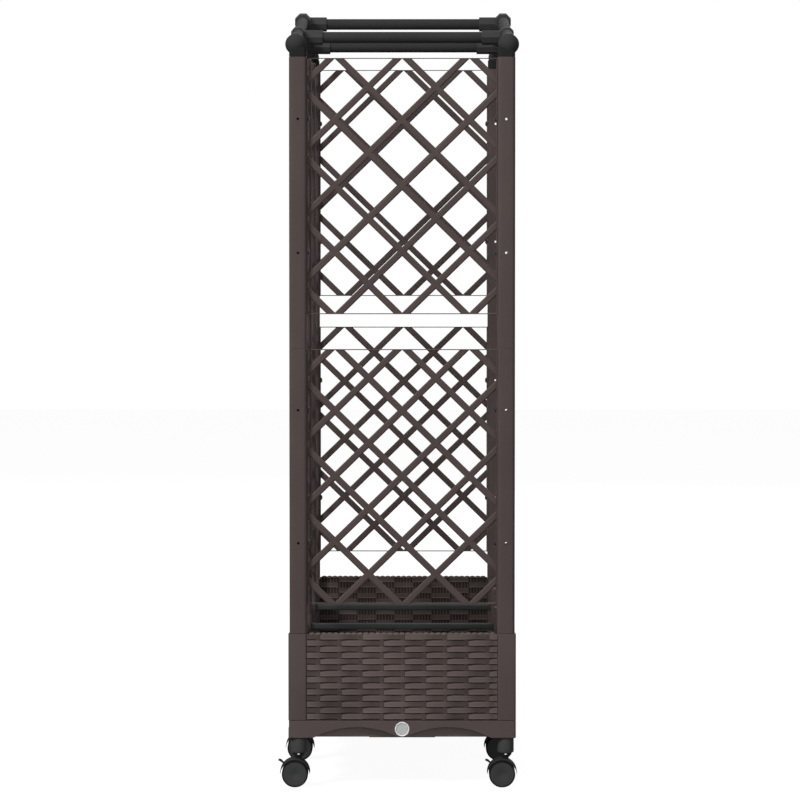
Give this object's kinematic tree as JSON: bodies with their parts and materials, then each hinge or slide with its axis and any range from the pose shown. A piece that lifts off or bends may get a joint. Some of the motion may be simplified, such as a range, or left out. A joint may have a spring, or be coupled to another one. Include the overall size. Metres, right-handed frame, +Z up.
{
  "type": "planter with trellis",
  "caption": "Raised woven-look plastic planter trough on casters, with square posts, diamond lattice panels and a gabled pipe frame above for climbing plants.",
  "frame": {"origin": "on the floor below the middle of the planter", "axes": "+Z up; +Y along the length, from the end with the drain plug to the other end; +X across the width, away from the trellis side"},
  "size_m": [0.4446, 1.153, 1.3994],
  "materials": {
    "brown_plastic": "dark brown injection-moulded plastic, satin",
    "brown_tray_plastic": "darker brown injection-moulded plastic, satin",
    "charcoal_plastic": "charcoal plastic, satin",
    "charcoal_pipe": "charcoal coated pipe and fittings, satin",
    "wheel_plastic": "dark grey hard plastic, matt",
    "plug_plastic": "light grey plastic, matt"
  },
  "bodies": {
    "planter": {"base_tray_1": "brown_tray_plastic", "base_tray_2": "brown_tray_plastic", "base_tray_3": "brown_tray_plastic", "end_wall_front": "brown_plastic", "end_wall_rear": "brown_plastic", "side_wall_left": "brown_plastic", "side_wall_right": "brown_plastic", "corner_column_front_left": "brown_plastic", "corner_column_front_right": "brown_plastic", "corner_column_rear_left": "brown_plastic", "corner_column_rear_right": "brown_plastic", "cross_member_1": "brown_tray_plastic", "cross_member_2": "brown_tray_plastic", "water_grate": "brown_tray_plastic", "drain_plug": "plug_plastic", "corner_post_front_left": "brown_plastic", "corner_post_front_right": "brown_plastic", "corner_post_rear_left": "brown_plastic", "corner_post_rear_right": "brown_plastic", "mid_post_left_1": "brown_plastic", "mid_post_left_2": "brown_plastic", "trellis_front_lower": "brown_plastic", "trellis_rear_lower": "brown_plastic", "trellis_left_1_lower": "brown_plastic", "trellis_left_2_lower": "brown_plastic", "trellis_left_3_lower": "brown_plastic", "trellis_front_upper": "brown_plastic", "trellis_rear_upper": "brown_plastic", "trellis_left_1_upper": "brown_plastic", "trellis_left_2_upper": "brown_plastic", "trellis_left_3_upper": "brown_plastic", "corner_elbow_front_left": "charcoal_plastic", "corner_elbow_front_right": "charcoal_plastic", "corner_elbow_rear_left": "charcoal_plastic", "corner_elbow_rear_right": "charcoal_plastic", "gable_rail_left": "charcoal_pipe", "gable_rail_right": "charcoal_pipe", "cross_bar_front": "charcoal_pipe", "cross_bar_rear": "charcoal_pipe", "cross_bar_peak": "charcoal_pipe"},
    "caster_left_1": {"caster_fork_left_1": "charcoal_plastic"},
    "wheel_left_1": {"caster_wheel_left_1": "wheel_plastic"},
    "lever_left_1": {"brake_lever_left_1": "charcoal_plastic"},
    "caster_right_1": {"caster_fork_right_1": "charcoal_plastic"},
    "wheel_right_1": {"caster_wheel_right_1": "wheel_plastic"},
    "lever_right_1": {"brake_lever_right_1": "charcoal_plastic"},
    "caster_left_2": {"caster_fork_left_2": "charcoal_plastic"},
    "wheel_left_2": {"caster_wheel_left_2": "wheel_plastic"},
    "caster_right_2": {"caster_fork_right_2": "charcoal_plastic"},
    "wheel_right_2": {"caster_wheel_right_2": "wheel_plastic"},
    "caster_left_3": {"caster_fork_left_3": "charcoal_plastic"},
    "wheel_left_3": {"caster_wheel_left_3": "wheel_plastic"},
    "caster_right_3": {"caster_fork_right_3": "charcoal_plastic"},
    "wheel_right_3": {"caster_wheel_right_3": "wheel_plastic"},
    "caster_left_4": {"caster_fork_left_4": "charcoal_plastic"},
    "wheel_left_4": {"caster_wheel_left_4": "wheel_plastic"},
    "lever_left_4": {"brake_lever_left_4": "charcoal_plastic"},
    "caster_right_4": {"caster_fork_right_4": "charcoal_plastic"},
    "wheel_right_4": {"caster_wheel_right_4": "wheel_plastic"},
    "lever_right_4": {"brake_lever_right_4": "charcoal_plastic"}
  },
  "joints": [
    {"name": "swivel_left_1", "type": "hinge", "parent": "planter", "child": "caster_left_1", "pos_m": [-0.1855, -0.5565, 0.08], "axis": [0, 0, 1], "continuous": true},
    {"name": "roll_left_1", "type": "hinge", "parent": "caster_left_1", "child": "wheel_left_1", "pos_m": [-0.192, -0.5565, 0.0235], "axis": [0, 1, 0], "continuous": true},
    {"name": "brake_left_1", "type": "hinge", "parent": "caster_left_1", "child": "lever_left_1", "pos_m": [-0.20617, -0.5565, 0.03539], "axis": [0, -1, 0], "range_deg": [0, 18]},
    {"name": "swivel_right_1", "type": "hinge", "parent": "planter", "child": "caster_right_1", "pos_m": [0.1855, -0.5565, 0.08], "axis": [0, 0, 1], "continuous": true},
    {"name": "roll_right_1", "type": "hinge", "parent": "caster_right_1", "child": "wheel_right_1", "pos_m": [0.179, -0.5565, 0.0235], "axis": [0, 1, 0], "continuous": true},
    {"name": "brake_right_1", "type": "hinge", "parent": "caster_right_1", "child": "lever_right_1", "pos_m": [0.16483, -0.5565, 0.03539], "axis": [0, -1, 0], "range_deg": [0, 18]},
    {"name": "swivel_left_2", "type": "hinge", "parent": "planter", "child": "caster_left_2", "pos_m": [-0.1855, -0.1855, 0.08], "axis": [0, 0, 1], "continuous": true},
    {"name": "roll_left_2", "type": "hinge", "parent": "caster_left_2", "child": "wheel_left_2", "pos_m": [-0.192, -0.1855, 0.0235], "axis": [0, 1, 0], "continuous": true},
    {"name": "swivel_right_2", "type": "hinge", "parent": "planter", "child": "caster_right_2", "pos_m": [0.1855, -0.1855, 0.08], "axis": [0, 0, 1], "continuous": true},
    {"name": "roll_right_2", "type": "hinge", "parent": "caster_right_2", "child": "wheel_right_2", "pos_m": [0.179, -0.1855, 0.0235], "axis": [0, 1, 0], "continuous": true},
    {"name": "swivel_left_3", "type": "hinge", "parent": "planter", "child": "caster_left_3", "pos_m": [-0.1855, 0.1855, 0.08], "axis": [0, 0, 1], "continuous": true},
    {"name": "roll_left_3", "type": "hinge", "parent": "caster_left_3", "child": "wheel_left_3", "pos_m": [-0.179, 0.1855, 0.0235], "axis": [0, 1, 0], "continuous": true},
    {"name": "swivel_right_3", "type": "hinge", "parent": "planter", "child": "caster_right_3", "pos_m": [0.1855, 0.1855, 0.08], "axis": [0, 0, 1], "continuous": true},
    {"name": "roll_right_3", "type": "hinge", "parent": "caster_right_3", "child": "wheel_right_3", "pos_m": [0.192, 0.1855, 0.0235], "axis": [0, 1, 0], "continuous": true},
    {"name": "swivel_left_4", "type": "hinge", "parent": "planter", "child": "caster_left_4", "pos_m": [-0.1855, 0.5565, 0.08], "axis": [0, 0, 1], "continuous": true},
    {"name": "roll_left_4", "type": "hinge", "parent": "caster_left_4", "child": "wheel_left_4", "pos_m": [-0.179, 0.5565, 0.0235], "axis": [0, 1, 0], "continuous": true},
    {"name": "brake_left_4", "type": "hinge", "parent": "caster_left_4", "child": "lever_left_4", "pos_m": [-0.16483, 0.5565, 0.03539], "axis": [0, 1, 0], "range_deg": [0, 18]},
    {"name": "swivel_right_4", "type": "hinge", "parent": "planter", "child": "caster_right_4", "pos_m": [0.1855, 0.5565, 0.08], "axis": [0, 0, 1], "continuous": true},
    {"name": "roll_right_4", "type": "hinge", "parent": "caster_right_4", "child": "wheel_right_4", "pos_m": [0.192, 0.5565, 0.0235], "axis": [0, 1, 0], "continuous": true},
    {"name": "brake_right_4", "type": "hinge", "parent": "caster_right_4", "child": "lever_right_4", "pos_m": [0.20617, 0.5565, 0.03539], "axis": [0, 1, 0], "range_deg": [0, 18]}
  ]
}
